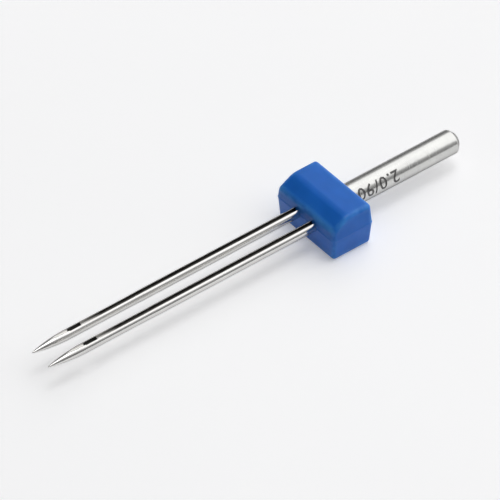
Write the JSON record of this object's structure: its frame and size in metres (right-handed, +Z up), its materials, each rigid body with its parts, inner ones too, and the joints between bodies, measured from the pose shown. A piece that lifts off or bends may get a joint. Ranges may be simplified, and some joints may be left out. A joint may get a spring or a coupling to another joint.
{
  "type": "twin sewing machine needle",
  "caption": "Twin needle for a home sewing machine: parallel grooved steel needles and a flatted steel shank joined by a moulded blue plastic crossbar, for sewing even double rows.",
  "frame": {"origin": "on the surface that the part rests on, midway along its length, under the shank's axis", "axes": "+X along the shank's axis, from the needles' points to the shank's butt; +Y across the two needles; +Z up, out of the front with the long grooves"},
  "size_m": [0.0406, 0.007, 0.0038],
  "materials": {
    "shank_steel": "nickel-plated steel, ground and lightly polished, with fine turning lines",
    "needle_steel": "nickel-plated steel, polished bright, duller inside the grooves and the eyes",
    "bar_plastic": "moulded plastic, semi-matte and slightly translucent at its edges"
  },
  "bodies": {
    "root": {"shank": "shank_steel", "crossbar": "bar_plastic", "left_needle": "needle_steel", "right_needle": "needle_steel"}
  },
  "joints": []
}
